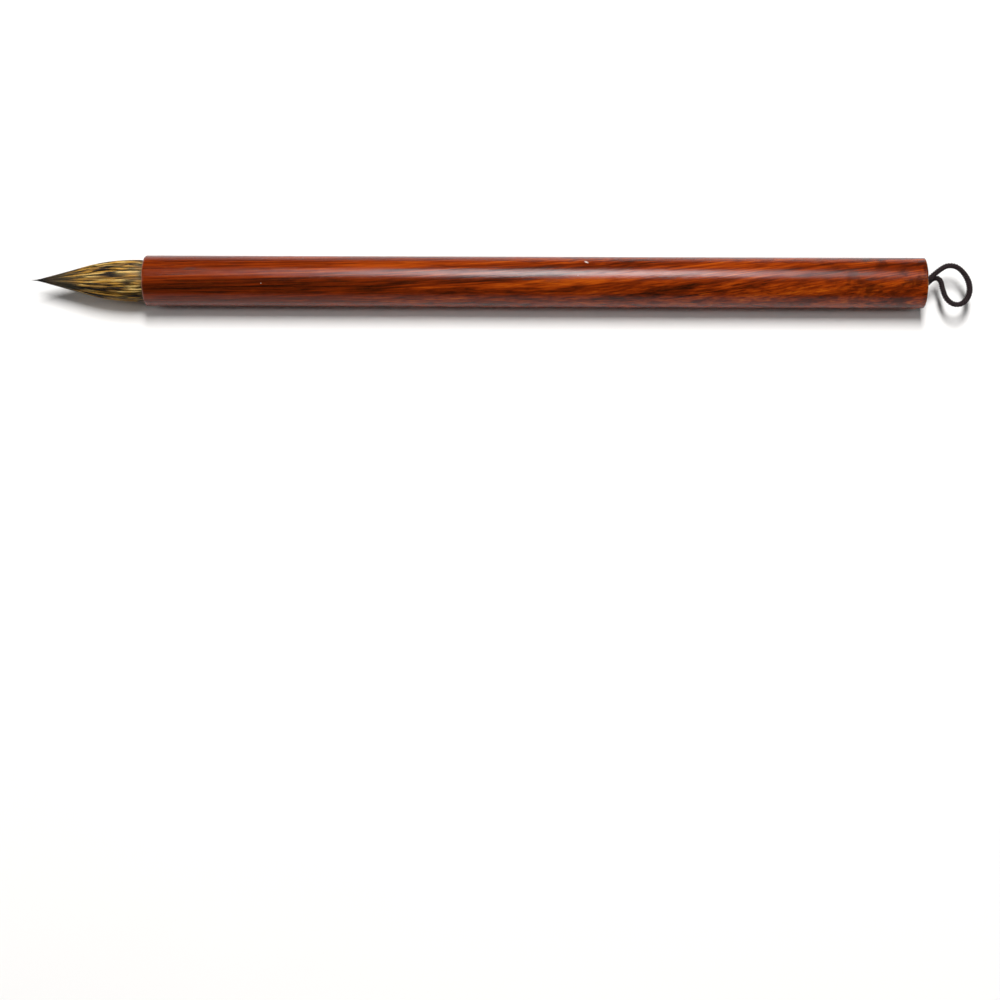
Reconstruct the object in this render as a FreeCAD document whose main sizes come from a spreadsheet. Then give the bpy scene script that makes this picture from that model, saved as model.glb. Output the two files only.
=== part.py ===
import FreeCAD, Part

import math
import os

import Sketcher

# A calligraphy brush lying along X: the tuft points to -X, the hanging loop to +X. Each sub-part is
# modelled with the centre of the handle's mouth at the origin and the handle's axis along X, and is
# then placed so that the handle rests on z = 0, with x = 0 halfway from the tuft's tip to the tail.

# alias: (millimetres, what it is)
DRIVING = {
    "handle_length": (200.0, "turned rod, mouth to tail face"),
    "handle_radius": (6.45, "outside of the rod"),
    "mouth_round": (0.7, "rounding outside the mouth"),
    "mouth_flare": (0.3, "chamfer inside the mouth"),
    "tail_round": (0.35, "rounding of the tail edge"),
    "socket_radius": (5.4, "bore that holds the hair"),
    "socket_depth": (12.0, "depth of that bore"),
    "cord_hole_radius": (1.7, "hole in the tail for the cord"),
    "cord_hole_depth": (12.0, "depth of that hole"),
    "cord_hole_flare": (0.3, "chamfer of the cord hole"),
    "root_radius": (5.2, "hair bundle, in the socket and in front of it"),
    "padding_radius": (4.0, "outside of the padding hair"),
    "core_radius": (2.0, "outside of the core hair"),
    "root_start": (2.0, "front of the rooted hair behind the mouth"),
    "root_end": (10.4, "cut end of the hair bundle"),
    "seal_radius": (4.9, "disc of hardened rosin"),
    "seal_thickness": (1.0, "thickness of that disc"),
    "glue_start": (2.6, "front of the glue behind the mouth"),
    "thread_start": (7.2, "middle of the binding's first turn"),
    "thread_pitch": (0.42, "binding, from turn to turn"),
    "thread_turns": (6.0, "turns round the bundle"),
    "thread_radius": (0.2, "section of the thread"),
    "waist_radius": (4.78, "hair drawn in under the thread"),
    "waist_margin": (0.35, "waist beyond the first and last turns"),
    "tuft_length": (29.3, "hair in front of the mouth"),
    "straight_length": (2.2, "straight start of the tuft"),
    "belly_arc": (54.0, "radius of the tuft's long curve"),
    "cone_end": (27.6, "where the cone gives way to the last hairs"),
    "cone_end_radius": (0.26, "radius there"),
    "tip_radius": (0.06, "last hairs"),
    "padding_end": (7.4, "the padding hair is short"),
    "core_cone_start": (16.0, "where the core begins to taper"),
    "core_end": (27.0, "tip of the core"),
    "core_end_radius": (0.1, "radius there"),
    "belly_hinge": (0.9, "where the tuft bends, in front of the mouth"),
    "point_hinge": (13.0, "where the point bends, in front of the mouth"),
    "point_ball": (4.8, "seat in which the point turns"),
    "hinge_gap": (0.2, "clearance of both hair seats"),
    "cord_diameter": (1.25, "twisted hanging cord"),
    "cord_hinge": (0.66, "where the loop swings, behind the tail face"),
    "lead_offset": (0.65, "each cord end from the axis, in the hole"),
    "left_lead": (1.42, "left lead from the axis, at the loop's hinge"),
    "right_lead": (0.2, "right lead from the axis, at the loop's hinge"),
    "lead_bend": (0.9, "where both leads begin to spread, inside the tail"),
    "cord_end_gap": (0.8, "glue between the cord's ends and the hole's bottom"),
    "cord_glue_recess": (0.5, "glue's top, inside the tail"),
}

# The loop's route behind the tail face, as (along X, along Y), from its left lead to its right one.
LOOP_ROUTE = [
    (1.20, 1.92),
    (2.50, 3.08),
    (4.20, 4.15),
    (6.40, 5.10),
    (8.60, 4.70),
    (10.30, 3.00),
    (11.40, 0.60),
    (11.60, -1.90),
    (10.80, -4.30),
    (9.10, -5.90),
    (6.90, -5.85),
    (5.40, -4.30),
    (4.80, -2.20),
    (4.68, -0.35),
    (4.62, 0.85),
    (3.90, 1.68),
    (2.85, 1.66),
    (2.00, 0.86),
    (1.25, 0.20),
]
FIRST_TAPER = 0.27  # the cone's slope in radians before the tangents correct it
ARC_SHARE = 0.45  # of the shorter run beside a corner, taken up by the corner's arc

ALONG_X = FreeCAD.Rotation(FreeCAD.Vector(0, 1, 0), 90)  # turns +Z to +X
ACROSS = FreeCAD.Rotation(FreeCAD.Vector(1, 0, 0), 90)  # turns +Z to -Y
OUTSIDE = "dims.handle_radius"  # a radius that clears all the hair

doc = FreeCAD.newDocument("calligraphy_brush")
sheet = doc.addObject("Spreadsheet::Sheet", "dims")
for row, (alias, (value, meaning)) in enumerate(DRIVING.items(), start=1):
    sheet.set(f"A{row}", meaning)
    sheet.set(f"B{row}", str(value))
    sheet.setAlias(f"B{row}", alias)
doc.recompute()
subparts = []


def dim(alias):
    """A driving dimension's value, read back from the sheet."""
    return float(sheet.get(alias))


def bind(thing, sizes):
    """Binds properties of an object to expressions in the sheet's cells."""
    for name, expression in sizes.items():
        thing.setExpression(name, expression)
    return thing


def finish_subpart(thing, label, along="0"):
    """Names a sub-part and moves it from the mouth's frame to the brush's, and further along X."""
    thing.Label = label
    mouth = "(dims.tuft_length - dims.handle_length) / 2"
    bind(
        thing,
        {"Placement.Base.x": f"{mouth} + {along}", "Placement.Base.z": "dims.handle_radius"},
    )
    subparts.append(thing)


# ---------------------------------------------------------------- primitives and booleans


def cylinder(name, radius, start, end):
    """A rod about the axis, from start to end along X."""
    rod = doc.addObject("Part::Cylinder", name)
    rod.Placement = FreeCAD.Placement(FreeCAD.Vector(), ALONG_X)
    height = f"({end}) - ({start})"
    return bind(rod, {"Radius": radius, "Height": height, "Placement.Base.x": start})


def ball(name, radius, centre):
    """A sphere about a point of the axis."""
    sphere = doc.addObject("Part::Sphere", name)
    return bind(sphere, {"Radius": radius, "Placement.Base.x": centre})


def boolean(kind, name, base, tool):
    """A Part::Cut, Part::Common or Part::Fuse of two objects."""
    result = doc.addObject(f"Part::{kind}", name)
    result.Base = base
    result.Tool = tool
    return result


def cut(name, base, *tools):
    """The base with each tool taken away in turn."""
    for number, tool in enumerate(tools, start=1):
        last = number == len(tools)
        base = boolean("Cut", name if last else f"{name}_less_{number}", base, tool)
    return base


def common(name, base, tool):
    """What the base and the tool share."""
    return boolean("Common", name, base, tool)


def fuse(name, base, tool):
    """The base and the tool together."""
    return boolean("Fuse", name, base, tool)


# ---------------------------------------------------------------- the handle


def plane_of(body, role):
    """One of a body's own origin planes."""
    return next(plane for plane in body.Origin.OriginFeatures if plane.Role == role)


def circle_on(body, name, radius, along="0"):
    """A circle about the axis, on the body's YZ plane moved along X."""
    sketch = body.newObject("Sketcher::SketchObject", name)
    sketch.AttachmentSupport = [(plane_of(body, "YZ_Plane"), "")]
    sketch.MapMode = "FlatFace"
    sketch.addGeometry(Part.Circle(FreeCAD.Vector(), FreeCAD.Vector(0, 0, 1), 1.0), False)
    sketch.addConstraint(Sketcher.Constraint("Coincident", 0, 3, -1, 1))
    number = sketch.addConstraint(Sketcher.Constraint("Radius", 0, 1.0))
    sketch.renameConstraint(number, "radius")
    return bind(sketch, {"Constraints.radius": radius, "AttachmentOffset.Base.z": along})


def extrude(body, kind, sketch, length, towards_tail):
    """A Pad or Pocket of a sketch, along +X or -X."""
    feature = body.newObject(f"PartDesign::{kind}", f"{sketch.Name}_{kind.lower()}")
    feature.Profile = sketch
    feature.Reversed = towards_tail == (kind == "Pocket")
    bind(feature, {"Length": length})
    doc.recompute()
    return feature


def ease_edge(body, kind, name, base, rim, along, size):
    """A Fillet or Chamfer on the round edge of radius rim, this far along X."""
    for number, edge in enumerate(base.Shape.Edges, start=1):
        round_one = isinstance(edge.Curve, Part.Circle) and abs(edge.Curve.Radius - rim) < 1e-6
        if round_one and abs(edge.Curve.Center.x - along) < 1e-6:
            feature = body.newObject(f"PartDesign::{kind}", name)
            feature.Base = (base, [f"Edge{number}"])
            bind(feature, {{"Fillet": "Radius", "Chamfer": "Size"}[kind]: size})
            doc.recompute()
            return feature
    raise RuntimeError(f"{name}: no such edge")


def make_handle():
    """The wooden rod, bored at the mouth for the hair and at the tail for the cord."""
    body = doc.addObject("PartDesign::Body", "handle_shaft")
    length = dim("handle_length")
    radius = dim("handle_radius")
    rod = circle_on(body, "rod", "dims.handle_radius")
    extrude(body, "Pad", rod, "dims.handle_length", towards_tail=True)
    socket = circle_on(body, "socket", "dims.socket_radius")
    extrude(body, "Pocket", socket, "dims.socket_depth", towards_tail=True)
    hole = circle_on(body, "cord_hole", "dims.cord_hole_radius", "dims.handle_length")
    bored = extrude(body, "Pocket", hole, "dims.cord_hole_depth", towards_tail=False)
    wood = math.pi * (
        radius**2 * length
        - dim("socket_radius") ** 2 * dim("socket_depth")
        - dim("cord_hole_radius") ** 2 * dim("cord_hole_depth")
    )
    if abs(bored.Shape.Volume - wood) > 1e-3 * wood:
        raise RuntimeError("a bore of the handle cuts nothing")
    eased = ease_edge(body, "Fillet", "mouth_rounding", bored, radius, 0, "dims.mouth_round")
    eased = ease_edge(body, "Fillet", "tail_rounding", eased, radius, length, "dims.tail_round")
    eased = ease_edge(
        body, "Chamfer", "mouth_flaring", eased, dim("socket_radius"), 0, "dims.mouth_flare"
    )
    ease_edge(
        body,
        "Chamfer",
        "cord_hole_flaring",
        eased,
        dim("cord_hole_radius"),
        length,
        "dims.cord_hole_flare",
    )
    finish_subpart(body, "handle_shaft")


# ---------------------------------------------------------------- the hair


def measure_point(sketch, geometry, end, x=None, y=None):
    """Dimensions a geometry's end from the origin, by expressions in the sheet."""
    for kind, expression in (("DistanceX", x), ("DistanceY", y)):
        if expression is not None:
            value = float(sketch.evalExpression(expression))
            rule = Sketcher.Constraint(kind, -1, 1, geometry, end, value)
            name = f"{kind}_{geometry}_{end}"
            sketch.renameConstraint(sketch.addConstraint(rule), name)
            sketch.setExpression(f"Constraints.{name}", expression)


def measure_radius(sketch, geometry, expression):
    """Dimensions an arc's radius."""
    value = float(sketch.evalExpression(expression))
    rule = Sketcher.Constraint("Radius", geometry, value)
    name = f"radius_{geometry}"
    sketch.renameConstraint(sketch.addConstraint(rule), name)
    sketch.setExpression(f"Constraints.{name}", expression)


def draw_tuft():
    """Half the tuft's section: a round back that turns in the mouth, a straight start, a long arc,
    a cone and the last hairs."""
    radius = dim("root_radius")
    curve = dim("belly_arc")
    straight = -dim("straight_length")
    cone = FreeCAD.Vector(-dim("cone_end"), dim("cone_end_radius"), 0)
    last = FreeCAD.Vector(-dim("tuft_length"), dim("tip_radius"), 0)
    foot = FreeCAD.Vector(last.x, 0, 0)
    hinge = FreeCAD.Vector(-dim("belly_hinge"), 0, 0)
    middle = FreeCAD.Vector(straight, radius - curve, 0)
    taper = FIRST_TAPER
    arc_end = middle + FreeCAD.Vector(-curve * math.sin(taper), curve * math.cos(taper), 0)
    up = FreeCAD.Vector(0, 0, 1)
    back = Part.Circle(hinge, up, radius)
    side = Part.Circle(middle, up, curve)
    sketch = doc.addObject("Sketcher::SketchObject", "tuft_outline")
    sketch.addGeometry(
        [
            Part.ArcOfCircle(back, 0, math.pi / 2),
            Part.LineSegment(hinge + FreeCAD.Vector(0, radius, 0), FreeCAD.Vector(straight, radius, 0)),
            Part.ArcOfCircle(side, math.pi / 2, math.pi / 2 + taper),
            Part.LineSegment(arc_end, cone),
            Part.LineSegment(cone, last),
            Part.LineSegment(last, foot),
            Part.LineSegment(foot, hinge + FreeCAD.Vector(radius, 0, 0)),
        ],
        False,
    )
    sketch.addConstraint(
        [
            Sketcher.Constraint("Tangent", 0, 2, 1, 1),
            Sketcher.Constraint("Tangent", 1, 2, 2, 1),
            Sketcher.Constraint("Tangent", 2, 2, 3, 1),
            Sketcher.Constraint("Coincident", 3, 2, 4, 1),
            Sketcher.Constraint("Coincident", 4, 2, 5, 1),
            Sketcher.Constraint("Coincident", 5, 2, 6, 1),
            Sketcher.Constraint("Coincident", 6, 2, 0, 1),
            Sketcher.Constraint("Horizontal", 1),
            Sketcher.Constraint("Vertical", 5),
            Sketcher.Constraint("PointOnObject", 0, 1, -1),
            Sketcher.Constraint("PointOnObject", 0, 3, -1),
            Sketcher.Constraint("PointOnObject", 5, 2, -1),
        ]
    )
    measure_radius(sketch, 0, "dims.root_radius")
    measure_radius(sketch, 2, "dims.belly_arc")
    measure_point(sketch, 0, 3, x="-dims.belly_hinge")
    measure_point(sketch, 1, 2, x="-dims.straight_length")
    measure_point(sketch, 3, 2, x="-dims.cone_end", y="dims.cone_end_radius")
    measure_point(sketch, 4, 2, x="-dims.tuft_length", y="dims.tip_radius")
    return sketch


def make_core_form():
    """The core hair's whole length: a rod and a long cone."""
    rod = cylinder("core_rod", "dims.core_radius", "-dims.core_cone_start", "dims.socket_depth")
    cone = doc.addObject("Part::Cone", "core_cone")
    cone.Placement = FreeCAD.Placement(FreeCAD.Vector(), ALONG_X)
    bind(
        cone,
        {
            "Radius1": "dims.core_end_radius",
            "Radius2": "dims.core_radius",
            "Height": "dims.core_end - dims.core_cone_start",
            "Placement.Base.x": "-dims.core_end",
        },
    )
    return fuse("core_form", rod, cone)


def make_hair():
    """Core, padding and cover hair, each cut where the tuft bends: in the mouth and at the point.
    The hair behind a bend ends in a round seat, and the hair in front of it in a ball."""
    tuft = doc.addObject("Part::Revolution", "tuft_form")
    tuft.Source = draw_tuft()
    tuft.Axis = FreeCAD.Vector(1, 0, 0)
    tuft.Angle = 360
    tuft.Solid = True

    core = make_core_form()
    padding = cylinder(
        "padding_form", "dims.padding_radius", "-dims.padding_end", "dims.socket_depth"
    )
    mouth_seat = ball("mouth_seat", "dims.root_radius + dims.hinge_gap", "-dims.belly_hinge")
    point_seat = ball("point_seat", "dims.point_ball + dims.hinge_gap", "-dims.point_hinge")
    point_ball = ball("point_ball", "dims.point_ball", "-dims.point_hinge")
    ahead = cylinder("ahead_of_point_hinge", OUTSIDE, "-2 * dims.tuft_length", "-dims.point_hinge")
    behind = cylinder("behind_point_hinge", OUTSIDE, "-dims.point_hinge", "dims.socket_depth")

    waist_start = "dims.thread_start - dims.waist_margin"
    waist_end = "dims.thread_start + dims.thread_turns * dims.thread_pitch + dims.waist_margin"
    waist = cut(
        "waist_ring",
        cylinder("waist_outside", OUTSIDE, waist_start, waist_end),
        cylinder("waist_inside", "dims.waist_radius", waist_start, waist_end),
    )
    bundle = cylinder("bundle", "dims.root_radius", "dims.root_start", "dims.root_end")
    root = cut("root_form", bundle, mouth_seat, waist)
    belly = cut("belly_form", tuft, ahead, point_seat)
    point = cut("point_form", tuft, cut("behind_point_ball", behind, point_ball))

    finish_subpart(cut("cover_hair_root", root, padding), "cover_hair_root")
    root_padding = common("root_padding", root, padding)
    finish_subpart(cut("padding_hair_root", root_padding, core), "padding_hair_root")
    finish_subpart(common("core_hair_root", root, core), "core_hair_root")
    finish_subpart(cut("cover_hair_belly", belly, padding, core), "cover_hair_belly")
    belly_padding = common("belly_padding", belly, padding)
    finish_subpart(cut("padding_hair_belly", belly_padding, core), "padding_hair_belly")
    finish_subpart(common("core_hair_belly", belly, core), "core_hair_belly")
    finish_subpart(cut("cover_hair_point", point, core), "cover_hair_point")
    finish_subpart(common("core_hair_point", point, core), "core_hair_point")


# ---------------------------------------------------------------- what holds the hair


def make_binding():
    """The thread wound round the waist of the bundle, a helix about Z that is turned to X."""
    helix = doc.addObject("Part::Helix", "thread_helix")
    bind(
        helix,
        {
            "Pitch": "dims.thread_pitch",
            "Height": "dims.thread_pitch * dims.thread_turns",
            "Radius": "dims.waist_radius + dims.thread_radius",
        },
    )
    section = doc.addObject("Part::Circle", "thread_section")
    section.Placement = FreeCAD.Placement(FreeCAD.Vector(), ACROSS)
    bind(
        section,
        {
            "Radius": "dims.thread_radius",
            "Placement.Base.x": "dims.waist_radius + dims.thread_radius",
        },
    )
    thread = doc.addObject("Part::Sweep", "binding_thread")
    thread.Sections = [section]
    thread.Spine = (helix, [])
    thread.Solid = True
    thread.Frenet = True
    thread.Placement = FreeCAD.Placement(FreeCAD.Vector(), ALONG_X)
    finish_subpart(thread, "binding_thread", along="dims.thread_start")


def make_seal_and_glue():
    """The rosin that seals the bundle's cut end, and the glue between the bundle and the bore."""
    seal_end = "dims.root_end + dims.seal_thickness"
    seal = cylinder("root_seal", "dims.seal_radius", "dims.root_end", seal_end)
    held_hair = cylinder("held_hair", "dims.root_radius", "dims.root_start", "dims.root_end")
    held_seal = cylinder("held_seal", "dims.seal_radius", "dims.root_start", seal_end)
    filling = cylinder("filling", "dims.socket_radius", "dims.glue_start", "dims.socket_depth")
    finish_subpart(cut("socket_glue", filling, held_hair, held_seal), "socket_glue")
    finish_subpart(seal, "root_seal", along="dims.root_end")


# ---------------------------------------------------------------- the hanging cord


def route_path(points):
    """The route as one wire, straight runs joined by tangent arcs, and the arcs' radii."""
    edges = []
    radii = []
    run_start = points[0]
    for before, corner, after in zip(points, points[1:], points[2:]):
        incoming = corner - before
        outgoing = after - corner
        half_turn = incoming.getAngle(outgoing) / 2
        reach = ARC_SHARE * min(incoming.Length, outgoing.Length)
        radius = reach / math.tan(half_turn)
        incoming.normalize()
        outgoing.normalize()
        inwards = (outgoing - incoming).normalize()
        arc_start = corner - incoming * reach
        arc_middle = corner + inwards * (radius / math.cos(half_turn) - radius)
        arc_end = corner + outgoing * reach
        edges.append(Part.LineSegment(run_start, arc_start).toShape())
        edges.append(Part.Arc(arc_start, arc_middle, arc_end).toShape())
        radii.append(radius)
        run_start = arc_end
    edges.append(Part.LineSegment(run_start, points[-1]).toShape())
    return Part.Wire(edges), radii


def cord_tube(name, points):
    """The cord along a route. Its volume has to be its section times its length."""
    radius = dim("cord_diameter") / 2
    path, radii = route_path(points)
    section = Part.Wire(Part.makeCircle(radius, points[0], points[1] - points[0]))
    tube = path.makePipeShell([section], True, False)
    share = tube.Volume / (math.pi * radius**2 * path.Length)
    bends = ", ".join(f"{bend:.2f}" for bend in radii)
    print(f"{name}: {path.Length:.2f} mm long, volume {share:.4f} of its section's, bends {bends}")
    if abs(share - 1) > 0.01:
        raise RuntimeError(f"{name} is not a plain tube")
    return tube


def make_cord():
    """The loop behind the tail, its two glued ends, and the glue round them in the hole."""
    tail = dim("handle_length")
    loop = doc.addObject("Part::Feature", "loop_cord")
    loop.Shape = cord_tube("loop", [FreeCAD.Vector(tail + x, y, 0) for x, y in LOOP_ROUTE])
    finish_subpart(loop, "loop_cord")

    ends = []
    offset = dim("lead_offset")
    for name, inside, outside in (
        ("left end", offset, dim("left_lead")),
        ("right end", -offset, -dim("right_lead")),
    ):
        bottom = FreeCAD.Vector(tail - dim("cord_hole_depth") + dim("cord_end_gap"), inside, 0)
        bend = FreeCAD.Vector(tail - dim("lead_bend"), inside, 0)
        top = FreeCAD.Vector(tail + dim("cord_hinge"), outside, 0)
        knuckle = Part.makeSphere(dim("cord_diameter") / 2, top)
        ends.append(cord_tube(name, [bottom, bend, top]).fuse(knuckle))
    form = doc.addObject("Part::Feature", "cord_ends_form")
    form.Shape = Part.makeCompound(ends)
    pair = doc.addObject("Part::Compound", "cord_ends")
    pair.Links = [form]
    finish_subpart(pair, "cord_ends")

    filling = cylinder(
        "cord_hole_filling",
        "dims.cord_hole_radius",
        "dims.handle_length - dims.cord_hole_depth",
        "dims.handle_length - dims.cord_glue_recess",
    )
    finish_subpart(cut("cord_glue", filling, form), "cord_glue")


# ---------------------------------------------------------------- the whole brush

make_handle()
make_hair()
make_binding()
make_seal_and_glue()
make_cord()
doc.recompute()

for thing in doc.Objects:
    if "Invalid" in thing.State or "Error" in thing.State:
        raise RuntimeError(f"{thing.Label} failed: {thing.State}")
for thing in subparts:
    if thing.Shape.isNull() or not thing.Shape.isValid():
        raise RuntimeError(f"{thing.Label} has no valid shape")

os.makedirs("parts", exist_ok=True)
for thing in subparts:
    thing.Shape.exportStep(f"parts/{thing.Label}.step")
    box = thing.Shape.BoundBox
    print(
        f"{thing.Label}: {len(thing.Shape.Solids)} solid(s), {thing.Shape.Volume:.2f} mm3, "
        f"x {box.XMin:.2f} to {box.XMax:.2f}, z {box.ZMin:.2f} to {box.ZMax:.2f}"
    )
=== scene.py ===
import math
import random

import bpy
import numpy as np
from mathutils import Matrix, Vector


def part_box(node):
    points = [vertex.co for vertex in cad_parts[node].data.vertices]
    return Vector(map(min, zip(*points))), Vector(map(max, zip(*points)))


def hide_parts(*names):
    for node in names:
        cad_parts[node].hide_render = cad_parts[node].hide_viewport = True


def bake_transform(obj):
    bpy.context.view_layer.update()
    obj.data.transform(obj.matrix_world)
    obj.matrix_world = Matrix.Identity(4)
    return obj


# ---------------------------------------------------------------- the frame

MM = 0.001
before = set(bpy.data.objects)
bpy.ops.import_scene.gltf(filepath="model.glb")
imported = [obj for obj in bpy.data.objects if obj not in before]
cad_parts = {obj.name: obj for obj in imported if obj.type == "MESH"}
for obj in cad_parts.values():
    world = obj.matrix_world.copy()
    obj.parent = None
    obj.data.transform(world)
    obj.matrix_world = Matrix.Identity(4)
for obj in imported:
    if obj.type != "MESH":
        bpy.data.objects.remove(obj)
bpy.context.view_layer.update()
shaft_low, shaft_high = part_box("handle_shaft")
MOUTH_X = shaft_low.x
TAIL_X = shaft_high.x
AXIS_Z = (shaft_low.z + shaft_high.z) / 2
HANDLE_RADIUS = (shaft_high.z - shaft_low.z) / 2
TUFT_LENGTH = MOUTH_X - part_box("cover_hair_point")[0].x
TUFT_RADIUS = (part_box("cover_hair_belly")[1].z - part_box("cover_hair_belly")[0].z) / 2


def at(along, across=0.0, up=0.0, base=None):
    """A point by its millimetres from the middle of the tail face, or of another place on the axis."""
    start = TAIL_X if base is None else base
    return Vector((start + along * MM, across * MM, AXIS_Z + up * MM))


def link(name, data):
    """A new object in the scene."""
    thing = bpy.data.objects.new(name, data)
    bpy.context.scene.collection.objects.link(thing)
    return thing


# ---------------------------------------------------------------- camera

CAMERA_ELEVATION = math.radians(66)
CAMERA_DISTANCE = 0.52
CAMERA_X = 0.0145
CAMERA_ROLL = math.radians(0.29)
CAMERA_LENS = 72.43
CAMERA_AIM = Vector((0.0066, -0.0589, AXIS_Z))
NEAREST_SEEN = 0.01


def make_camera():
    """Above the brush and in front of it. The brush lies above the middle of the view."""
    camera = link("camera", bpy.data.cameras.new("camera"))
    camera.data.lens = CAMERA_LENS
    camera.data.clip_start = NEAREST_SEEN
    back = Vector((0, -math.cos(CAMERA_ELEVATION), math.sin(CAMERA_ELEVATION)))
    place = Vector((CAMERA_X, 0, AXIS_Z)) + back * CAMERA_DISTANCE
    forward = (CAMERA_AIM - place).normalized()
    right = (Vector((1, 0, 0)) - forward * forward.x).normalized()
    turn = Matrix((right, right.cross(forward), -forward)).transposed().to_4x4()
    turn = turn @ Matrix.Rotation(CAMERA_ROLL, 4, "Z")
    camera.matrix_world = Matrix.Translation(place) @ turn
    bpy.context.scene.camera = camera


make_camera()

# ---------------------------------------------------------------- node trees


class Shader:
    """A new material with one Principled shader, and short calls for the nodes that feed it."""

    def __init__(self, name, **sockets):
        self.material = bpy.data.materials.new(name)
        self.material.use_nodes = True
        self.tree = self.material.node_tree
        self.principled = self.tree.nodes["Principled BSDF"]
        for socket, value in sockets.items():
            self.principled.inputs[socket.replace("_", " ")].default_value = value
        self.coordinates = self.node("ShaderNodeTexCoord").outputs["Object"]

    def node(self, kind, inputs=(), **settings):
        """A node with settings, and with its inputs linked or set in order."""
        made = self.tree.nodes.new(kind)
        for name, value in settings.items():
            setattr(made, name, value)
        for socket, value in dict(inputs).items():
            if isinstance(value, bpy.types.NodeSocket):
                self.tree.links.new(value, made.inputs[socket])
            else:
                made.inputs[socket].default_value = value
        return made

    def stretched(self, along, across, turn=(0, 0, 0), vector=None):
        """Coordinates with this many pattern units per millimetre along X and across it."""
        scale = (along / MM, across / MM, across / MM)
        source = vector or self.coordinates
        inputs = {"Vector": source, "Scale": scale, "Rotation": turn}
        return self.node("ShaderNodeMapping", inputs).outputs["Vector"]

    def noise(self, vector, scale=1.0, detail=4.0, roughness=0.55, distortion=0.0):
        """A noise pattern's value."""
        inputs = {
            "Vector": vector,
            "Scale": scale,
            "Detail": detail,
            "Roughness": roughness,
            "Distortion": distortion,
        }
        return self.node("ShaderNodeTexNoise", inputs).outputs["Fac"]

    def ramp(self, value, stops):
        """A colour ramp from (place, colour) stops."""
        made = self.node("ShaderNodeValToRGB", {"Fac": value})
        elements = made.color_ramp.elements
        while len(elements) < len(stops):
            elements.new(0.5)
        for element, (place, colour) in zip(elements, stops):
            element.position = place
            element.color = (*colour, 1)
        return made.outputs["Color"]

    def range(self, value, low, high, start=0.0, end=1.0):
        """A value from low to high mapped onto start to end, and held there."""
        inputs = {"Value": value, 1: low, 2: high, 3: start, 4: end}
        return self.node("ShaderNodeMapRange", inputs, clamp=True).outputs["Result"]

    def math(self, operation, a, b=0.0):
        """One arithmetic step."""
        return self.node("ShaderNodeMath", {0: a, 1: b}, operation=operation).outputs["Value"]

    def mix(self, factor, a, b, blend="MIX"):
        """Two colours mixed."""
        inputs = {"Factor": factor, 6: a, 7: b}
        made = self.node("ShaderNodeMix", (), data_type="RGBA", blend_type=blend)
        for socket, value in inputs.items():
            target = made.inputs[0] if socket == "Factor" else made.inputs[socket]
            if isinstance(value, bpy.types.NodeSocket):
                self.tree.links.new(value, target)
            elif isinstance(value, tuple) and len(value) == 3:
                target.default_value = (*value, 1)
            else:
                target.default_value = value
        return made.outputs[2]

    def bump(self, height, distance, strength=1.0, normal=None):
        """A bump of this height in metres."""
        inputs = {"Height": height, "Distance": distance, "Strength": strength}
        if normal:
            inputs["Normal"] = normal
        return self.node("ShaderNodeBump", inputs).outputs["Normal"]

    def feed(self, **sockets):
        """Links node outputs to the Principled shader."""
        for socket, output in sockets.items():
            self.tree.links.new(output, self.principled.inputs[socket.replace("_", " ")])
        return self.material


def dull(name, colour, roughness, along=0.5, across=3.0):
    """A plain matt material with streaks, for what lies inside."""
    shader = Shader(name, Roughness=roughness)
    streak = shader.noise(shader.stretched(along, across), detail=4.0)
    dark = tuple(part * 0.55 for part in colour)
    return shader.feed(
        Base_Color=shader.ramp(streak, [(0.3, dark), (0.7, colour)]),
        Normal=shader.bump(streak, 0.03 * MM, 0.5),
    )


# ---------------------------------------------------------------- rosewood

# Patches of the wood's figure, in millimetres: where each one's middle is along the rod and up its
# visible side, its half length, half width and slant in degrees, and how much it lightens or darkens.
WOOD_TILT = math.radians(24)
FIGURE = [
    (-26, 4.7, 26, 1.5, 0, 0.075),
    (-52, -1.6, 52, 4.6, 0, -0.070),
    (-20, -1.8, 22, 3.4, 3, -0.040),
    (-70, 6.0, 26, 1.6, 0, -0.045),
    (-10, 0.9, 16, 0.9, 2, -0.045),
    (10, 3.1, 20, 1.0, 3, -0.050),
    (20, -0.2, 30, 1.5, 4, 0.065),
    (34, -4.0, 26, 1.4, 3, -0.030),
    (50, -1.7, 17, 2.3, 8, -0.065),
    (60, 3.6, 22, 1.2, 7, 0.030),
    (90, -1.4, 26, 2.6, 8, 0.050),
]
# Black veins and chips of pale wood, only on the visible side, measured in the same way.
VEINS = [
    (-76, -1.95, 15, 0.20, 2.0),
    (-58, -1.45, 14, 0.14, 1.0),
    (3, 0.2, 15, 0.22, 3.5),
    (56, -3.0, 13, 0.2, 9),
]
CHIPS = [
    (28.1, 5.05, 0.75, 0.28, -22),
    (-54.7, -0.55, 0.16, 0.13, 0),
    (25.9, 1.65, 0.1, 0.1, 0),
]
WOOD_COLOURS = [
    (0.37, (0.022, 0.0036, 0.0009)),
    (0.43, (0.076, 0.0095, 0.0012)),
    (0.50, (0.175, 0.0190, 0.0014)),
    (0.57, (0.315, 0.0420, 0.0024)),
    (0.66, (0.500, 0.0950, 0.0050)),
]
END_GRAIN_COLOURS = [(0.38, (0.020, 0.0050, 0.0020)), (0.62, (0.110, 0.0240, 0.0060))]
PORE_COLOUR = (0.020, 0.0030, 0.0010)
FIBRE_COLOUR = (0.380, 0.080, 0.008)
BLOTCH_COLOUR = (0.050, 0.0070, 0.0012)
VEIN_COLOUR = (0.008, 0.0020, 0.0010)
CHIP_COLOUR = (0.75, 0.66, 0.58)
# The pale band round the mouth's lip is partly bare wood and partly a painted edge highlight.
LIP_WOOD_AND_HIGHLIGHT = (0.42, 0.20, 0.13)
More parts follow.
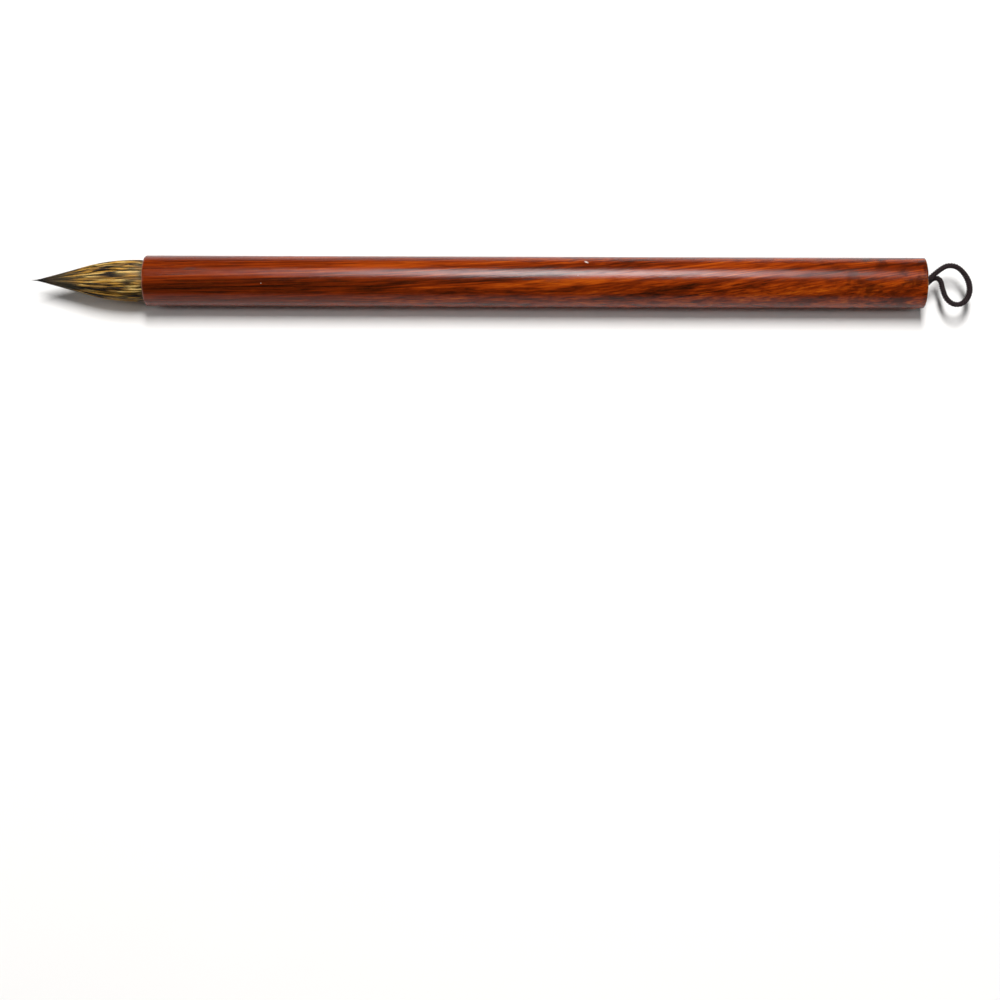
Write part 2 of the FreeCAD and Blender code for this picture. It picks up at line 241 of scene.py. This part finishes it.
# Round the tail's edge: a dark painted shade, with pale spots that are partly chips and partly painted
# highlight.
EDGE_PAINTED_SHADE = (0.014, 0.004, 0.002)
EDGE_CHIPS_AND_HIGHLIGHT = (0.40, 0.15, 0.035)
VEIN_STRENGTH = 0.9
END_FACE_LACQUER = 0.15


def wood_patch(wood, x, up, length, width, slant, shallow=False):
    """1 in the middle of an ellipse, and 0 outside it. It goes straight through the rod, unless it is
    shallow."""
    centre = at(x, up * math.cos(WOOD_TILT), up * math.sin(WOOD_TILT), base=0)
    moved = wood.node("ShaderNodeVectorMath", {0: wood.coordinates, 1: centre}, operation="SUBTRACT")
    inputs = {"Vector": moved.outputs[0], "Rotation": (-WOOD_TILT, 0, 0)}
    level = wood.node("ShaderNodeMapping", inputs).outputs[0]
    inputs = {"Vector": level, "Rotation": (0, 0, -math.radians(slant))}
    straight = wood.node("ShaderNodeMapping", inputs).outputs[0]
    inputs = {"Vector": straight, "Scale": (1 / (length * MM), 1 / (width * MM), 0)}
    sized = wood.node("ShaderNodeMapping", inputs).outputs[0]
    reach = wood.node("ShaderNodeVectorMath", {0: sized}, operation="LENGTH").outputs["Value"]
    inputs = {"Value": reach, 1: 0.15, 2: 1.0, 3: 1.0, 4: 0.0}
    fade = wood.node("ShaderNodeMapRange", inputs, interpolation_type="SMOOTHSTEP")
    inside = fade.outputs["Result"]
    if not shallow:
        return inside
    depth = wood.node("ShaderNodeSeparateXYZ", {0: level}).outputs["Z"]
    return wood.math("MULTIPLY", inside, wood.range(depth, 0.5 * MM, 1.5 * MM))


def wood_grain(wood, place):
    """Coordinates that lie along the streaks, which run along the rod, nearly straight near the mouth
    and slanting more and more towards the tail."""
    along = place["X"]
    sway = wood.noise(wood.stretched(0.016, 0.05), detail=1.0)
    lift = wood.math("MULTIPLY", wood.math("SUBTRACT", sway, 0.5), 3.0 * MM)
    slope = wood.range(along, MOUTH_X, TAIL_X, 0.005, 0.105)
    slant = wood.math("MULTIPLY", slope, wood.math("SUBTRACT", along, MOUTH_X))
    shifted = wood.math("ADD", wood.math("SUBTRACT", place["Y"], slant), lift)
    deep = wood.math("ADD", place["Z"], wood.math("MULTIPLY", lift, 0.6))
    return wood.node("ShaderNodeCombineXYZ", {0: along, 1: shifted, 2: deep}).outputs[0]


def wood_tone(wood, along, grain, fine):
    """How light the wood is: streaks of three widths, calmer near the mouth, and the patches."""
    broad = wood.noise(wood.stretched(0.010, 0.42, vector=grain), detail=2.0, roughness=0.5)
    streak = wood.noise(wood.stretched(0.030, 1.9, vector=grain), detail=4.0, roughness=0.65)
    tone = wood.math("MULTIPLY", broad, 0.30)
    tone = wood.math("ADD", tone, wood.math("MULTIPLY", streak, 0.46))
    tone = wood.math("ADD", tone, wood.math("MULTIPLY", fine, 0.24))
    calm = wood.range(along, MOUTH_X, -20 * MM, 0.62, 1.0)
    tone = wood.math("MULTIPLY", wood.math("SUBTRACT", tone, 0.5), calm)
    tone = wood.math("ADD", tone, wood.range(along, MOUTH_X, TAIL_X, 0.492, 0.514))
    for *ellipse, strength in FIGURE:
        tone = wood.math("ADD", tone, wood.math("MULTIPLY", wood_patch(wood, *ellipse), strength))
    return tone


def tail_face(wood, place):
    """1 on the flat of the tail face, and 0 on the rest of the rod."""
    height = wood.math("SUBTRACT", place["Z"], AXIS_Z)
    spoke = wood.node("ShaderNodeCombineXYZ", {1: place["Y"], 2: height}).outputs[0]
    reach = wood.node("ShaderNodeVectorMath", {0: spoke}, operation="LENGTH").outputs["Value"]
    inner = wood.range(reach, HANDLE_RADIUS - 0.55 * MM, HANDLE_RADIUS - 0.25 * MM, 1.0, 0.0)
    at_tail = wood.range(place["X"], TAIL_X - 0.10 * MM, TAIL_X - 0.05 * MM)
    return wood.math("MULTIPLY", inner, at_tail)


def wood_relief(wood, fine, end_face):
    """The lacquer's ripples, pores and grit, which nearly vanish on the tail face."""
    ripple = wood.noise(wood.stretched(0.20, 0.7), detail=2.0, roughness=0.5)
    grit = wood.noise(wood.stretched(2.2, 3.4), detail=3.0, roughness=0.7)
    pores = wood.range(fine, 0.28, 0.42)
    relief = wood.math("ADD", wood.math("MULTIPLY", ripple, 0.55), wood.math("MULTIPLY", pores, 0.20))
    relief = wood.math("ADD", relief, wood.math("MULTIPLY", grit, 0.62))
    return wood.math("MULTIPLY", relief, wood.range(end_face, 0.0, 1.0, 1.0, 0.15))


def rosewood():
    """Streaked rosewood under a worn, glossy lacquer: mottled near the tail, and with nearly bare end
    grain on the tail face. Round the tail's edge it has a band of painted shade with pale spots, partly
    chips and partly painted highlight, and at the mouth a pale lip, partly bare wood and partly a
    painted edge highlight."""
    wood = Shader("rosewood", Specular_IOR_Level=0.0, Coat_Roughness=0.17, Coat_IOR=1.29)
    place = wood.node("ShaderNodeSeparateXYZ", {0: wood.coordinates}).outputs
    along = place["X"]
    grain = wood_grain(wood, place)
    fine = wood.noise(wood.stretched(0.085, 3.6, vector=grain), detail=3.0, roughness=0.6)
    fibre = wood.noise(wood.stretched(0.5, 11.0, vector=grain), detail=2.0, roughness=0.6)
    figure = wood.noise(
        wood.stretched(0.26, 0.30, vector=grain), detail=3.0, roughness=0.5, distortion=0.4
    )

    colour = wood.ramp(wood_tone(wood, along, grain, fine), WOOD_COLOURS)
    colour = wood.mix(wood.range(fine, 0.34, 0.44, 0.60, 0.0), colour, PORE_COLOUR)
    colour = wood.mix(wood.range(fibre, 0.55, 0.72, 0.0, 0.20), colour, FIBRE_COLOUR)
    mottled = wood.range(along, TAIL_X - 38 * MM, TAIL_X - 14 * MM, 0.0, 0.80)
    blotch = wood.math("MULTIPLY", wood.range(figure, 0.50, 0.37), mottled)
    colour = wood.mix(blotch, colour, BLOTCH_COLOUR)
    for ellipse in VEINS:
        vein = wood.math("MULTIPLY", wood_patch(wood, *ellipse, shallow=True), VEIN_STRENGTH)
        colour = wood.mix(vein, colour, VEIN_COLOUR)
    for ellipse in CHIPS:
        colour = wood.mix(wood_patch(wood, *ellipse, shallow=True), colour, CHIP_COLOUR)

    # The pale band round the mouth's lip: partly bare wood, partly a painted edge highlight.
    lip = wood.range(along, MOUTH_X + 0.12 * MM, MOUTH_X + 0.30 * MM, 0.80, 0.0)
    colour = wood.mix(lip, colour, LIP_WOOD_AND_HIGHLIGHT)
    # The band round the tail's edge is painted shade, broken by pale spots that are partly chips and
    # partly painted highlight.
    chips_and_glints = wood.range(wood.noise(wood.stretched(1.0, 0.9), detail=2.0), 0.50, 0.60)
    edge = wood.range(along, TAIL_X - 0.38 * MM, TAIL_X - 0.18 * MM, 0.0, 0.85)
    colour = wood.mix(edge, colour, wood.mix(chips_and_glints, EDGE_PAINTED_SHADE, EDGE_CHIPS_AND_HIGHLIGHT))

    end_face = tail_face(wood, place)
    year = wood.noise(wood.stretched(0.5, 1.6), detail=4.0, roughness=0.6, distortion=0.6)
    colour = wood.mix(end_face, colour, wood.ramp(year, END_GRAIN_COLOURS))

    relief = wood_relief(wood, fine, end_face)
    smudge = wood.noise(wood.stretched(0.16, 0.4), detail=4.0, roughness=0.65)
    return wood.feed(
        Base_Color=colour,
        Coat_Weight=wood.range(end_face, 0.0, 1.0, 1.0, END_FACE_LACQUER),
        Roughness=wood.range(smudge, 0.35, 0.65, 0.5, 0.7),
        Coat_Normal=wood.bump(relief, 0.055 * MM, 1.0),
        Normal=wood.bump(relief, 0.06 * MM, 0.8),
    )


# ---------------------------------------------------------------- hair

# Lengths are in millimetres. Places along the tuft are in front of the mouth, so HAIR_START lies inside.
# RINGS gives each ring of locks its depth under the tuft's surface, and its number of locks.
HAIR_SEED = 11
RINGS = [(0.05, 46), (0.32, 44), (0.62, 40)]
HAIRS_IN_LOCK = 16
HAIR_WIDTH = 0.15
HAIR_START = -2.4
SPLITS = (7.2, 9.8)
BELLY_STEPS = 11
POINT_STEPS = 14
HEART_SHARE = 0.80
HEART_END = 26.0
HEART_STEPS = 16
HEART_SIDES = 48
STRAIGHT_LENGTH = 2.2
BELLY_ARC_RADIUS = 54.0
BELLY_ARC_END = 16.34
CONE_END = 27.6
CONE_END_RADIUS = 0.26
TIP_RADIUS = 0.04
BELLY_SWELL = 0.16

GOLD = (0.54, 0.285, 0.042)
TAN = (0.29, 0.150, 0.032)
OLIVE = (0.15, 0.100, 0.028)
STRAW = (0.66, 0.45, 0.14)
UMBER = (0.013, 0.0065, 0.003)
GREY_OLIVE = (0.042, 0.040, 0.026)
RUST = (0.085, 0.048, 0.028)
SOOT = (0.010, 0.008, 0.007)
# The heart's dark colour is painted shade: it shows as the dark gaps between the locks.
HEART_PAINTED_SHADE = (0.045, 0.028, 0.014)

# The colours of the dashes along a lock, and how often each comes up near the mouth and further out.
DASHES = [GOLD, TAN, OLIVE, STRAW, UMBER]
DASHES_NEAR_MOUTH = [5, 6, 4, 3, 2.5]
DASHES_FURTHER_OUT = [8, 4.5, 2, 3, 5]
NEAR_MOUTH = 2.5
DASH_LENGTHS = (1.1, 3.9)
DASH_EDGE = 0.28
DARKENS_EARLY = (14.2, 18.0)
DARKENS_LATE = (18.5, 22.5)
EARLY_AND_LATE = [76, 24]
DARKENING_LENGTH = 2.6
# The hairs are darkened to umber where they go into the mouth: painted shade.
MOUTH_PAINTED_SHADE = (-0.6, 0.9)
RUST_STARTS = (22.0, 24.5)
SOOT_STARTS = (24.6, 26.2)

LOCK_HALF_WIDTHS = (0.20, 0.38)
LOCK_DEPTHS = (-0.06, 0.14)
LOCK_LENGTHS = (19.0, 27.0)
LOCK_END_SPREAD = 1.3
LOCK_CURVE_DEPTH = 0.22
LONG_HAIR_SHARE = 0.16
LONG_HAIR_LENGTHS = (27.8, 29.6)
SHORT_HAIR_LIMIT = 29.0
HAIR_SHADES = (0.62, 1.38)
HAIR_SLIP = 0.6


def tuft_profile(forward):
    """The tuft's radius, this far in front of the mouth: straight, then the belly's long arc, then a
    cone, then the last hairs."""
    radius = TUFT_RADIUS / MM
    if forward <= STRAIGHT_LENGTH:
        return radius
    if forward <= BELLY_ARC_END:
        height = math.sqrt(BELLY_ARC_RADIUS**2 - (forward - STRAIGHT_LENGTH) ** 2)
        return radius - BELLY_ARC_RADIUS + height
    if forward <= CONE_END:
        share = (forward - BELLY_ARC_END) / (CONE_END - BELLY_ARC_END)
        return tuft_profile(BELLY_ARC_END) * (1 - share) + CONE_END_RADIUS * share
    share = (forward - CONE_END) / (TUFT_LENGTH / MM - CONE_END)
    return CONE_END_RADIUS * (1 - share) + TIP_RADIUS * share


def smooth(value, low, high):
    """0 below low, 1 above high, and smooth between."""
    share = min(1.0, max(0.0, (value - low) / (high - low)))
    return share * share * (3 - 2 * share)


def blend_colours(a, b, share):
    """One colour faded into another."""
    return tuple(x + (y - x) * share for x, y in zip(a, b))


class Lock:
    """Some hairs that lie together as a low ridge: where it runs, and where it is light or dark."""

    def __init__(self, dice, angle, depth):
        self.angle = angle
        self.depth = depth + dice.uniform(*LOCK_DEPTHS)
        self.half = dice.uniform(*LOCK_HALF_WIDTHS)
        self.wander = [
            (dice.uniform(0.01, 0.045), dice.uniform(0.10, 0.40), dice.uniform(0, math.tau))
            for _ in range(3)
        ]
        self.dashes = [(HAIR_START, OLIVE)]
        while self.dashes[-1][0] < TUFT_LENGTH / MM:
            near_mouth = self.dashes[-1][0] < NEAR_MOUTH
            weights = DASHES_NEAR_MOUTH if near_mouth else DASHES_FURTHER_OUT
            shade = dice.choices(DASHES, weights)[0]
            self.dashes.append((self.dashes[-1][0] + dice.uniform(*DASH_LENGTHS), shade))
        places = [dice.uniform(*DARKENS_EARLY), dice.uniform(*DARKENS_LATE)]
        self.darkens = dice.choices(places, EARLY_AND_LATE)[0]
        self.length = dice.uniform(*LOCK_LENGTHS)

    def turn(self, forward):
        """The lock's place round the tuft."""
        return self.angle + sum(
            size * math.sin(rate * forward + phase) for size, rate, phase in self.wander
        )


class Hair:
    """One hair of a lock."""

    def __init__(self, dice, lock):
        self.lock = lock
        self.side = dice.uniform(-1, 1)
        self.depth = lock.depth + LOCK_CURVE_DEPTH * self.side**2 + 0.05 * dice.random()
        if dice.random() < LONG_HAIR_SHARE:
            self.length = dice.uniform(*LONG_HAIR_LENGTHS)
        else:
            self.length = min(SHORT_HAIR_LIMIT, lock.length + dice.gauss(0, LOCK_END_SPREAD))
        self.shade = dice.uniform(*HAIR_SHADES)
        self.slip = dice.gauss(0, HAIR_SLIP)
        self.wave = (dice.uniform(0.0, 0.016), dice.uniform(0.4, 1.0), dice.uniform(0, math.tau))
        self.width = HAIR_WIDTH * dice.uniform(0.75, 1.15)
        self.split = dice.uniform(*SPLITS)

    def point(self, forward):
        """(across, up) from the axis."""
        size, rate, phase = self.wave
        fan = self.side * self.lock.half / (TUFT_RADIUS / MM)
        angle = self.lock.turn(forward) + fan + size * math.sin(rate * forward + phase)
        share = 1.0 - self.depth / (TUFT_RADIUS / MM)
        swell = BELLY_SWELL * smooth(forward, 0.0, 1.5) * (1.0 - smooth(forward, 9.0, 20.0))
        radius = max(0.0, (tuft_profile(forward) + swell) * share - self.width * 0.4)
        return radius * math.cos(angle), radius * math.sin(angle)

    def thickness(self, forward):
        """Its width, which runs out towards its end."""
        end = max(0.0, 1.0 - (max(0.0, forward) / self.length) ** 5)
        return self.width * (0.12 + 0.88 * end)

    def colour(self, forward):
        """Golden with dark dashes, with painted shade where the hairs go into the mouth, darker where
        the tuft draws together, and black at the point.
        """
        place = forward + self.slip
        colour = self.lock.dashes[0][1]
        for start, shade in self.lock.dashes:
            colour = blend_colours(colour, shade, smooth(place, start - DASH_EDGE, start + DASH_EDGE))
        # Painted shade where the hairs go into the mouth.
        colour = blend_colours(colour, UMBER, 0.8 * (1.0 - smooth(place, *MOUTH_PAINTED_SHADE)))
        darkens = self.lock.darkens
        darkened = smooth(place, darkens, darkens + DARKENING_LENGTH)
        colour = blend_colours(colour, GREY_OLIVE, 0.90 * darkened)
        colour = blend_colours(colour, RUST, 0.6 * smooth(place, *RUST_STARTS))
        colour = blend_colours(colour, SOOT, smooth(place, *SOOT_STARTS))
        return tuple(min(1.0, part * self.shade) for part in colour)


def tube_faces(first, rings, sides):
    """The faces of a closed tube, the corners of which go ring by ring from this vertex on."""
    faces = []
    for ring in range(rings - 1):
        low = first + ring * sides
        for corner in range(sides):
            after = (corner + 1) % sides
            faces.append((low + corner, low + after, low + sides + after, low + sides + corner))
    last = first + (rings - 1) * sides
    faces.append(tuple(first + corner for corner in reversed(range(sides))))
    faces.append(tuple(last + corner for corner in range(sides)))
    return faces


def link_mesh(name, verts, faces):
    """A new object with a smooth mesh."""
    mesh = bpy.data.meshes.new(name)
    mesh.from_pydata(verts, [], faces)
    mesh.shade_smooth()
    return link(name, mesh)


def hair_mesh(name, hairs, steps, in_front):
    """Each hair as a closed three-sided tube, from its root to its split or, in front, from there to
    its end."""
    sides = 3
    verts, faces, colours, ends = [], [], [], []
    for hair in hairs:
        start = hair.split if in_front else HAIR_START
        last = hair.length if in_front else hair.split
        faces += tube_faces(len(verts), steps + 1, sides)
        for step in range(steps + 1):
            forward = start + (last - start) * step / steps
            across, up = hair.point(forward)
            half = hair.thickness(forward) / 2
            angle = math.atan2(up, across)
            ends.append(step in (0, steps))
            for side in range(sides):
                turn = angle + math.tau * side / sides
                corner = (across + half * math.cos(turn), up + half * math.sin(turn))
                verts.append(at(-forward, *corner, base=MOUTH_X))
                colours.append((*hair.colour(forward), 1.0))
    piece = link_mesh(name, verts, faces)
    mesh = piece.data
    layer = mesh.color_attributes.new("hair_colour_and_shade", "FLOAT_COLOR", "POINT")
    layer.data.foreach_set("color", np.array(colours, np.float32).ravel())
    pairs = np.empty(2 * len(mesh.edges), np.int32)
    mesh.edges.foreach_get("vertices", pairs)
    rings = pairs.reshape(-1, 2) // sides
    around_cap = (rings[:, 0] == rings[:, 1]) & np.array(ends)[rings[:, 0]]
    sharp = mesh.attributes.new("sharp_edge", "BOOLEAN", "EDGE")
    sharp.data.foreach_set("value", around_cap)
    return piece


def heart_mesh(name, start, end):
    """The padding and core as one fluted bundle that fills the cover hair."""
    verts = []
    for step in range(HEART_STEPS + 1):
        forward = start + (end - start) * step / HEART_STEPS
        for side in range(HEART_SIDES):
            turn = math.tau * side / HEART_SIDES
            flute = 1 + 0.02 * math.sin(13 * turn + 0.2 * forward) + 0.015 * math.sin(29 * turn)
            radius = tuft_profile(forward) * HEART_SHARE * flute
            verts.append(at(-forward, radius * math.cos(turn), radius * math.sin(turn), base=MOUTH_X))
    return link_mesh(name, verts, tube_faces(0, HEART_STEPS + 1, HEART_SIDES))


def hair_material():
    """The hairs' colours, with their painted shade near the mouth, broken up by fine streaks, with a
    soft gloss.
    """
    hair = Shader("hair", Specular_IOR_Level=0.45)
    painted = hair.node("ShaderNodeAttribute", (), attribute_name="hair_colour_and_shade").outputs["Color"]
    streak = hair.noise(hair.stretched(0.5, 6.0), detail=3.0)
    level = hair.range(streak, 0.3, 0.7, 0.75, 1.25)
    grey = hair.node("ShaderNodeCombineColor", {0: level, 1: level, 2: level}).outputs[0]
    shine = hair.range(hair.noise(hair.stretched(0.8, 9.0)), 0.35, 0.65, 0.34, 0.55)
    return hair.feed(
        Base_Color=hair.mix(1.0, painted, grey, "MULTIPLY"),
        Roughness=shine,
        Normal=hair.bump(streak, 0.02 * MM, 0.4),
    )


def make_tuft():
    """All the hair that shows, in one piece for the belly and one for the point. Every hair is
    split where both pieces follow the belly exactly."""
    dice = random.Random(HAIR_SEED)
    locks = []
    for depth, count in RINGS:
        for number in range(count):
            angle = math.tau * (number + dice.uniform(-0.3, 0.3)) / count
            locks.append(Lock(dice, angle, depth))
    hairs = [Hair(dice, lock) for lock in locks for _ in range(HAIRS_IN_LOCK)]
    middle = sum(SPLITS) / 2
    belly = hair_mesh("tuft_hair_belly", hairs, BELLY_STEPS, False)
    point = hair_mesh("tuft_hair_point", hairs, POINT_STEPS, True)
    belly_heart = heart_mesh("tuft_heart_belly", HAIR_START, middle)
    point_heart = heart_mesh("tuft_heart_point", middle, HEART_END)
    material = hair_material()
    # The heart pieces are dark with painted shade, which shows between the locks.
    dark = dull("tuft_heart", HEART_PAINTED_SHADE, 0.7, along=0.4, across=5.0)
    for piece, slot in (
        (belly, "cover_hair"),
        (point, "cover_hair"),
        (belly_heart, "padding_hair"),
        (point_heart, "core_hair"),
    ):
        piece.data.materials.append(material if slot == "cover_hair" else dark)
    for piece in (belly, belly_heart):
        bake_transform(piece)
    for piece in (point, point_heart):
        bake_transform(piece)
    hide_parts("cover_hair_belly")
    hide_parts("cover_hair_point")
    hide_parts("padding_hair_belly", "core_hair_belly")
    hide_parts("core_hair_point")


# ---------------------------------------------------------------- the hanging cord

# Millimetres from the middle of the tail face, along X, Y and Z: out of the hole, round the loop and
# back. The two leads lie one over the other where they meet.
LOOP_ROUTE = [
    (-0.90, 0.60, 0.30),
    (0.50, 0.70, 0.50),
    (1.50, 1.22, 0.60),
    (2.70, 2.30, 0.60),
    (4.30, 3.75, 0.40),
    (6.30, 5.00, 0.15),
    (8.60, 4.75, 0.00),
    (10.30, 3.00, 0.00),
    (11.40, 0.60, 0.00),
    (11.60, -1.90, 0.00),
    (10.80, -4.30, 0.00),
    (9.10, -5.90, 0.00),
    (6.90, -5.85, 0.00),
    (5.30, -4.20, 0.00),
    (4.78, -2.20, -0.10),
    (4.55, -0.60, -0.30),
    (4.38, 0.85, -0.45),
    (3.55, 1.72, -0.55),
    (2.40, 1.64, -0.60),
    (1.38, 0.60, -0.60),
    (0.50, -0.20, -0.50),
    (-0.90, -0.60, -0.30),
]
# Sizes are in millimetres. A ply's radius is PLY_SHARE of the cord's.
CORD_DIAMETER = 1.42
CORD_STEP = 0.1
PLIES = 3
PLY_PITCH = 2.0
PLY_SIDES = 20
PLY_SHARE = 0.58
YARNS = 5
YARN_RELIEF = 0.05
LOOSENING = 0.16
CORD_COLOURS = [(0.35, (0.004, 0.0017, 0.002)), (0.7, (0.032, 0.014, 0.017))]


def cord_line():
    """Points along the cord's smooth line."""
    curve = bpy.data.curves.new("cord_route", "CURVE")
    curve.dimensions = "3D"
    spline = curve.splines.new("NURBS")
    spline.points.add(len(LOOP_ROUTE) - 1)
    for control, place in zip(spline.points, LOOP_ROUTE):
        control.co = (*at(*place), 1)
    spline.order_u = 3
    spline.use_endpoint_u = True
    spline.resolution_u = 24
    route = link("cord_route", curve)
    bpy.context.view_layer.update()
    line = bpy.data.meshes.new_from_object(route)
    points = [vertex.co.copy() for vertex in line.vertices]
    bpy.data.objects.remove(route)
    return points


def evenly(points, step):
    """The same line with points a step apart, and its length."""
    reach = [0.0]
    for before, after in zip(points, points[1:]):
        reach.append(reach[-1] + (after - before).length)
    count = round(reach[-1] / step)
    wanted = np.linspace(0, reach[-1], count + 1)
    columns = [np.interp(wanted, reach, [point[axis] for point in points]) for axis in range(3)]
    return [Vector(row) for row in zip(*columns)], reach[-1]


def ply_verts(line, length, ply):
    """The corners round one ply of the cord, ring by ring. The cord is a little thicker and looser where
    its loop turns back."""
    verts = []
    up = Vector((0, 0, 1))
    for number, point in enumerate(line):
        before = line[max(0, number - 1)]
        after = line[min(len(line) - 1, number + 1)]
        along = (after - before).normalized()
        side = along.cross(up).normalized()
        top = side.cross(along)
        travelled = number * length / (len(line) - 1)
        share = travelled / length
        swell = 1 + LOOSENING * smooth(share, 0.30, 0.42) * (1 - smooth(share, 0.48, 0.62))
        outer = CORD_DIAMETER * MM / 2 * swell
        ply_radius = outer * PLY_SHARE
        lay_radius = outer - ply_radius
        twist = math.tau * (travelled / (PLY_PITCH * MM) + ply / PLIES)
        centre = point + (side * math.cos(twist) + top * math.sin(twist)) * lay_radius
        for corner in range(PLY_SIDES):
            turn = math.tau * corner / PLY_SIDES
            yarn = 1 + YARN_RELIEF * math.cos(YARNS * (turn + twist * 0.8))
            spoke = side * math.cos(turn) + top * math.sin(turn)
            verts.append(centre + spoke * ply_radius * yarn)
    return verts


def make_cord():
    """A tightly twisted three-ply cord, both ends of which are glued into the tail."""
    line, length = evenly(cord_line(), CORD_STEP * MM)
    verts, faces = [], []
    for ply in range(PLIES):
        faces += tube_faces(len(verts), len(line), PLY_SIDES)
        verts += ply_verts(line, length, ply)
    cord = link_mesh("hanging_cord", verts, faces)
    cord.data.materials.append(cord_material())
    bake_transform(cord)
    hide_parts("loop_cord", "cord_ends")


def cord_material():
    """Dark brown thread with a dull sheen."""
    cord = Shader("cord", Specular_IOR_Level=0.35, Sheen_Weight=0.02, Sheen_Roughness=0.4)
    fibre = cord.noise(cord.stretched(4.0, 4.0), detail=4.0)
    return cord.feed(
        Base_Color=cord.ramp(fibre, CORD_COLOURS),
        Roughness=cord.range(fibre, 0.3, 0.7, 0.5, 0.75),
        Normal=cord.bump(fibre, 0.05 * MM, 0.6),
    )


make_cord()
make_tuft()

# ---------------------------------------------------------------- the CAD pieces' materials


def paint(material, *nodes):
    """Gives CAD nodes a material."""
    for name in nodes:
        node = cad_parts[name]
        for number in range(len(node.material_slots)):
            node.material_slots[number].material = material


PALE_HAIR = (0.55, 0.42, 0.25)
DARK_HAIR = (0.10, 0.07, 0.04)
COTTON = (0.70, 0.63, 0.48)
GLUE = (0.35, 0.22, 0.09)
ROSIN = (0.12, 0.05, 0.02)

paint(rosewood(), "handle_shaft")
paint(dull("rooted_cover_hair", OLIVE, 0.6), "cover_hair_root")
paint(dull("rooted_padding_hair", PALE_HAIR, 0.6), "padding_hair_root")
paint(dull("rooted_core_hair", DARK_HAIR, 0.6), "core_hair_root")
paint(dull("binding_thread", COTTON, 0.8, along=4.0, across=4.0), "binding_thread")
paint(dull("dried_glue", GLUE, 0.3, along=0.6, across=0.6), "socket_glue", "cord_glue")
paint(dull("rosin", ROSIN, 0.25, along=0.6, across=0.6), "root_seal")

# ---------------------------------------------------------------- floor and light


FLOOR_HALF_SIZE = 0.5
FLOOR_COLOURS = [(0.3, (0.905, 0.893, 0.878)), (0.7, (0.915, 0.903, 0.888))]
SOFTBOX_LEAN = math.radians(16.5)
SOFTBOX_TARGET = Vector((0.049, 0, 0))
FILL_LIGHT = 0.03
BACKGROUND_SEEN = 1.1


def make_floor():
    """A plain pale floor."""
    half = FLOOR_HALF_SIZE
    corners = [(-half, -half, 0), (half, -half, 0), (half, half, 0), (-half, half, 0)]
    mesh = bpy.data.meshes.new("floor")
    mesh.from_pydata(corners, [], [(0, 1, 2, 3)])
    floor = link("floor", mesh)
    shader = Shader("floor", Roughness=0.9)
    grain = shader.noise(shader.stretched(0.01, 0.01), detail=2.0)
    floor.data.materials.append(shader.feed(Base_Color=shader.ramp(grain, FLOOR_COLOURS)))


def make_light(name, target, direction, distance, size, watts):
    """A rectangular soft light that faces a target."""
    light = link(name, bpy.data.lights.new(name, "AREA"))
    light.data.shape = "RECTANGLE"
    light.data.size, light.data.size_y = size
    light.data.energy = watts
    light.location = target + direction.normalized() * distance
    light.rotation_euler = (-direction).to_track_quat("-Z", "Y").to_euler()


def make_lights():
    """A softbox over the brush, which leans back from the camera, and a weaker one at each side."""
    overhead = Vector((0, math.sin(SOFTBOX_LEAN), math.cos(SOFTBOX_LEAN)))
    make_light("softbox", SOFTBOX_TARGET, overhead, distance=1.2, size=(0.20, 0.58), watts=16.5)
    for side in (-1, 1):
        beside = Vector((side * 1.15, -0.22, 1.05))
        make_light("side_softbox", Vector(), beside, distance=1.57, size=(0.3, 0.8), watts=3.2)


def make_world():
    """A white background that gives very little light."""
    world = bpy.data.worlds.new("studio")
    world.use_nodes = True
    nodes, links = world.node_tree.nodes, world.node_tree.links
    background = nodes["Background"]
    background.inputs["Color"].default_value = (1, 1, 1, 1)
    seen = nodes.new("ShaderNodeLightPath").outputs["Is Camera Ray"]
    strength = nodes.new("ShaderNodeMapRange")
    strength.inputs["To Min"].default_value = FILL_LIGHT
    strength.inputs["To Max"].default_value = BACKGROUND_SEEN
    links.new(seen, strength.inputs["Value"])
    links.new(strength.outputs["Result"], background.inputs["Strength"])
    bpy.context.scene.world = world


make_floor()
make_lights()
make_world()
bpy.context.scene.view_settings.view_transform = "Standard"
